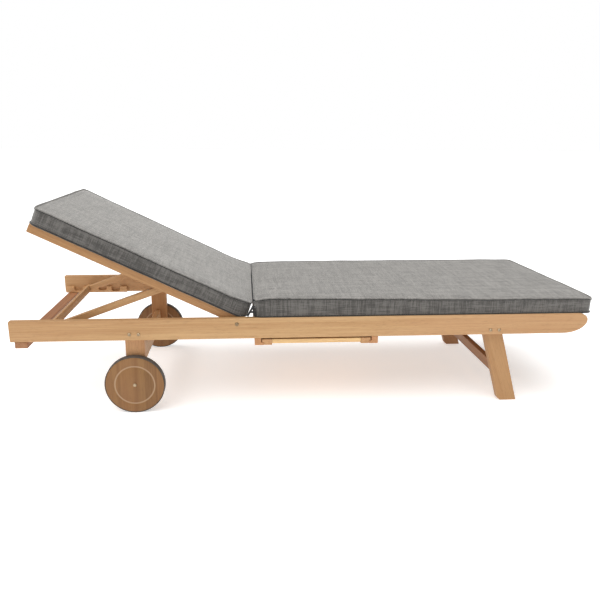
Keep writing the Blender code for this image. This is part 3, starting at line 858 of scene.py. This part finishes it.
def seat_shape(point):
    to_near = 0.5 - 0.5 * point.y / SEAT_HIGH.y
    deepest = DIP["near"] * to_near + DIP["far"] * (1 - to_near)
    dip = deepest * math.exp(-(point.x - FOLD_X) / DIP_LENGTH)
    along = (point.x - FOLD_X) / (SEAT_HIGH.x - FOLD_X)
    slope = to_near * NEAR_LIFT * (1 - along) ** 2
    lift = (point.z - RAIL_TOP) / PAD_THICK
    askew = (FOOT_REACH - FOOT_SKEW * point.y / SEAT_HIGH.y) * along ** 2
    return Vector((point.x + askew, point.y, point.z + (slope - dip) * lift))


def on_rails(point):
    return Vector((point.x, point.y, max(point.z, RAIL_TOP + CLEARANCE)))


def seat_pad(looks):
    low = Vector((FOLD_X + FOLD_GAP, -SEAT_HIGH.y, RAIL_TOP + CLEARANCE))
    high = Vector((SEAT_HIGH.x - FOOT_INSET, SEAT_HIGH.y, RAIL_TOP + PAD_THICK - 0.001))
    made, welts = pad("seat_pad", low, high, seat_shape, on_rails, low.x, looks)
    for piece in [made, *welts]:
        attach(piece, "frame")
    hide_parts("seat_cushion")


def backrest_points(name):
    """The points of a CAD node in the backrest's own axes: X along it, from the pivot, Z out of it."""
    into = BACK.inverted()
    return [into @ v.co for v in frame["nodes"][name].data.vertices]


BACK_FACE = max(p.z for p in backrest_points("backrest_slat_1"))
BACK_PAD_LOW = BACK_FACE + 0.0015
BACK_PAD_HIGH = BACK_FACE + PAD_THICK + 0.0005
BACK_HEAD = min(p.x for p in backrest_points("back_cushion"))
FOLD_EDGE = BACK.inverted() @ Vector((FOLD_X - FOLD_GAP, 0, RAIL_TOP + PAD_THICK - 0.006))
LOW_CORNER_X = 0.027
BEND_LENGTH = 0.10
HEAD_LEAN = -0.002
LEAN_LENGTH = 0.030


def back_shape(point):
    """Bends the end of the back pad: its top edge meets the seat pad, its lower edge stops short."""
    near_end = max(0.0, 1 + (point.x - FOLD_EDGE.x) / BEND_LENGTH) ** 2
    lift = (point.z - BACK_PAD_LOW) / (BACK_PAD_HIGH - BACK_PAD_LOW)
    back = (FOLD_EDGE.x - LOW_CORNER_X) * (1 - lift) * near_end
    rise = (FOLD_EDGE.z - BACK_PAD_HIGH) * lift * near_end
    lean = HEAD_LEAN * lift * math.exp((BACK_HEAD - point.x) / LEAN_LENGTH)
    return Vector((point.x - back + lean, point.y, point.z + rise - lean / 2))


def on_backrest(point):
    """Keeps a point of the back pad off the backrest's face and, at the fold, off the side rails."""
    above = Vector((point.x, point.y, max(point.z, BACK_FACE + 0.0004)))
    placed = BACK @ above
    placed.z = max(placed.z, RAIL_TOP + CLEARANCE)
    return BACK.inverted() @ placed


def follow_backrest(piece):
    """Puts a piece's placement into its mesh and leaves the piece at the origin."""
    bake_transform(piece)


def back_pad(looks):
    half_width = max(p.y for p in backrest_points("back_cushion"))
    low = Vector((BACK_HEAD - 0.003, -half_width, BACK_PAD_LOW))
    high = Vector((FOLD_EDGE.x, half_width, BACK_PAD_HIGH))
    made, welts = pad("back_pad", low, high, back_shape, on_backrest, high.x, looks)
    for piece in [made, *welts]:
        piece.matrix_world = BACK
        follow_backrest(piece)
    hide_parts("back_cushion")


CREASE_SHADE_RADIUS = 0.0034
TIE_RADIUS = 0.0038
FOLD_HALF = SEAT_HIGH.y - 0.004
TIE_DEPTH = 0.013
TIE_FEET = {"back": -0.020, "seat": 0.006}
TIE_FOOT_HEIGHT = 0.005
TIE_BOW = 0.002
CROSS_BAR_SHARE = 0.6


def crease_shade_cord(cord):
    """A dark cord along the bottom of the crease between the two pads. It is painted shade that stands in for the
    shadow in the crease.
    """
    steps = 40
    line = []
    for step in range(steps + 1):
        y = FOLD_HALF * (2 * step / steps - 1)
        wander = 0.001 * noise.noise(Vector((0, y * 9, 0)))
        edge = seat_shape(Vector((FOLD_X + FOLD_GAP, y, RAIL_TOP + PAD_THICK)))
        line.append(Vector((FOLD_X + wander, y, edge.z - 0.004)))
    made = tube("crease_shade_cord", line, CREASE_SHADE_RADIUS, cord)
    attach(made, "frame")


def fold_ties(cord):
    """At each end of the fold: elastic ties from the crease to the pads' lower corners, and a bar."""
    for side in SIGN:
        sign = SIGN[side]
        y = sign * FOLD_HALF
        top = Vector((FOLD_X, y, RAIL_TOP + PAD_THICK - TIE_DEPTH))
        back_foot = Vector((FOLD_X + TIE_FEET["back"], y, RAIL_TOP + TIE_FOOT_HEIGHT))
        seat_foot = Vector((FOLD_X + TIE_FEET["seat"], y, RAIL_TOP + TIE_FOOT_HEIGHT))
        runs = {
            "back": (top, back_foot),
            "seat": (top, seat_foot),
            "bar": (top.lerp(back_foot, CROSS_BAR_SHARE), top.lerp(seat_foot, CROSS_BAR_SHARE)),
        }
        for name, (start, end) in runs.items():
            line = bowed_line(start, end, sign * TIE_BOW)
            made = tube(f"fold_tie_{name}_{side}", line, TIE_RADIUS, cord)
            if name == "seat":
                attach(made, "frame")
            else:
                follow_backrest(made)


def bowed_line(start, end, bow, steps=10):
    """Points from start to end that bow out sideways in between."""
    line = []
    for step in range(steps + 1):
        share = step / steps
        line.append(start.lerp(end, share) + Vector((0, bow * math.sin(math.pi * share), 0)))
    return line


# ---- stage ----
AMBIENT = 0.36
SUN_STRENGTH = 2.75
SUN_SPREAD = 75
SUN_DIRECTION = Vector((0.30, 0.22, -1))
FLOOR_GLOW = 0.47
CAMERA_PLACE = (-0.2212, -2.3452, 0.9500)
CAMERA_YAW, CAMERA_PITCH, CAMERA_ROLL = 4.335, 14.983, 0.42


def floor():
    made, _, shader = new_material("studio_floor", Roughness=0.9)
    shader.inputs["Base Color"].default_value = (0.88, 0.88, 0.88, 1)
    shader.inputs["Emission Color"].default_value = (1, 1, 1, 1)
    shader.inputs["Emission Strength"].default_value = FLOOR_GLOW
    bm = bmesh.new()
    bmesh.ops.create_grid(bm, x_segments=1, y_segments=1, size=30)
    ground = link("studio_floor", mesh_from(bm, "studio_floor"), made)


def front_light():
    """A weak broad light from beside the camera."""
    data = bpy.data.lights.new("front", "AREA")
    data.shape = "RECTANGLE"
    data.size, data.size_y = 3.0, 1.6
    data.energy = 5
    made = bpy.data.objects.new("front", data)
    made.location = (-0.8, -3.6, 1.5)
    aim = Vector((0, 0, 0.3)) - made.location
    made.rotation_euler = aim.to_track_quat("-Z", "Y").to_euler()
    bpy.context.scene.collection.objects.link(made)


def studio():
    """Soft light from above. The backdrop is white to the eye but lights the object less than that."""
    world = bpy.data.worlds.new("studio")
    world.use_nodes = True
    tree = world.node_tree
    background = tree.nodes["Background"]
    background.inputs["Color"].default_value = (1, 1, 1, 1)
    seen = tree.nodes.new("ShaderNodeLightPath").outputs["Is Camera Ray"]
    strength = calculate(tree, "ADD", calculate(tree, "MULTIPLY", seen, 1 - AMBIENT), AMBIENT)
    tree.links.new(strength, background.inputs["Strength"])
    bpy.context.scene.world = world
    bpy.context.scene.view_settings.view_transform = "Standard"
    sky = bpy.data.lights.new("overhead", "SUN")
    sky.energy = SUN_STRENGTH
    sky.angle = math.radians(SUN_SPREAD)
    made = bpy.data.objects.new("overhead", sky)
    made.rotation_euler = SUN_DIRECTION.to_track_quat("-Z", "Y").to_euler()
    bpy.context.scene.collection.objects.link(made)
    front_light()


def camera():
    data = bpy.data.cameras.new("camera")
    data.sensor_width = 36
    data.lens = 36.77
    data.shift_x = 0.0165
    data.shift_y = -0.0068
    made = bpy.data.objects.new("camera", data)
    bpy.context.scene.collection.objects.link(made)
    made.location = CAMERA_PLACE
    turn = Matrix.Rotation(math.radians(-CAMERA_YAW), 4, "Z")
    turn @= Matrix.Rotation(math.radians(90 - CAMERA_PITCH), 4, "X")
    turn @= Matrix.Rotation(math.radians(CAMERA_ROLL), 4, "Z")
    made.rotation_euler = turn.to_euler()
    bpy.context.scene.camera = made


def main():
    camera()
    studio()
    floor()
    # The seam line and the bottom welt are near black: dark piping that is also painted shade along the pads'
    # edges. The cord below also serves as the crease's painted shade.
    dark = fabric_material("cushion_seam_painted_shade", 0.10)
    looks = {
        "fabric": fabric_material("cushion_fabric"),
        "welt_top": fabric_material("cushion_welt", 0.85),
        "seam_shade_top": dark,
        "welt_shade_bottom": dark,
    }
    steel = steel_material("bolt_steel", (0.54, 0.43, 0.29), (0.36, 0.27, 0.17))
    bronze = steel_material("pivot_bronze", (0.35, 0.26, 0.16), (0.20, 0.14, 0.08))
    rubber = rubber_material("tyre_rubber")
    cord = cord_material("elastic_cord")
    dress_boards()
    prop_bar()
    for side in SIGN:
        wheel(side, rubber, steel)
    fasteners(steel, bronze)
    seat_pad(looks)
    back_pad(looks)
    crease_shade_cord(cord)
    fold_ties(cord)


main()
